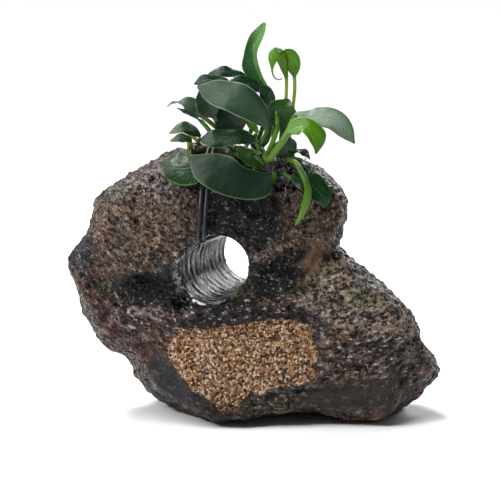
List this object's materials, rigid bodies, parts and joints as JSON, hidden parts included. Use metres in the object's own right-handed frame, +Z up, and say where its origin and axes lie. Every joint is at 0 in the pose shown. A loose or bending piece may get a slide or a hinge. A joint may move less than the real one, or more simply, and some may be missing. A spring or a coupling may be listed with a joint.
{
  "type": "anubias on stone",
  "caption": "Dwarf anubias, a low aquarium plant with a creeping stem, dark leaves and short roots, grown on a pierced lava stone and held by a thin black tie.",
  "frame": {"origin": "on the flat foot of the stone, below its middle", "axes": "+Z up, +Y along the hole through the stone and away from its patched front, +X to the right seen from that front"},
  "size_m": [0.1078, 0.0616, 0.1167],
  "materials": {
    "stone": "satin",
    "rhizome": "satin",
    "root": "satin",
    "tie": "satin",
    "leaf_dark": "satin",
    "leaf_mid": "satin",
    "leaf_young": "satin",
    "leaf_pale": "satin",
    "leaf_grey": "satin"
  },
  "bodies": {
    "root": {"stone": "stone", "rhizome": "rhizome", "root_front_right": "root", "root_front_middle": "root", "root_front_left": "root", "root_back_right": "root", "root_back_middle": "root", "tie_inner": "tie", "tie_outer": "tie", "leaf_tall": "leaf_mid", "leaf_curled": "leaf_young", "leaf_cupped": "leaf_young", "leaf_back_top": "leaf_dark", "leaf_back_left": "leaf_dark", "leaf_upper_big": "leaf_dark", "leaf_beside_upper": "leaf_dark", "leaf_behind_upper": "leaf_dark", "leaf_left_pale": "leaf_pale", "leaf_left_thread": "leaf_pale", "leaf_left_edge": "leaf_dark", "leaf_left_dark": "leaf_dark", "leaf_under_upper": "leaf_dark", "leaf_low_left_upper": "leaf_pale", "leaf_low_left_lower": "leaf_pale", "leaf_middle": "leaf_dark", "leaf_front_big": "leaf_dark", "leaf_front_left": "leaf_dark", "leaf_between": "leaf_mid", "leaf_rolled_small": "leaf_young", "leaf_young_bright": "leaf_young", "leaf_spike": "leaf_young", "leaf_right_big": "leaf_grey", "leaf_right_deep": "leaf_mid", "leaf_right_dark": "leaf_dark", "leaf_hanging": "leaf_young", "leaf_on_stone": "leaf_dark", "leaf_strip": "leaf_dark", "leaf_small_tip": "leaf_dark"}
  },
  "joints": []
}
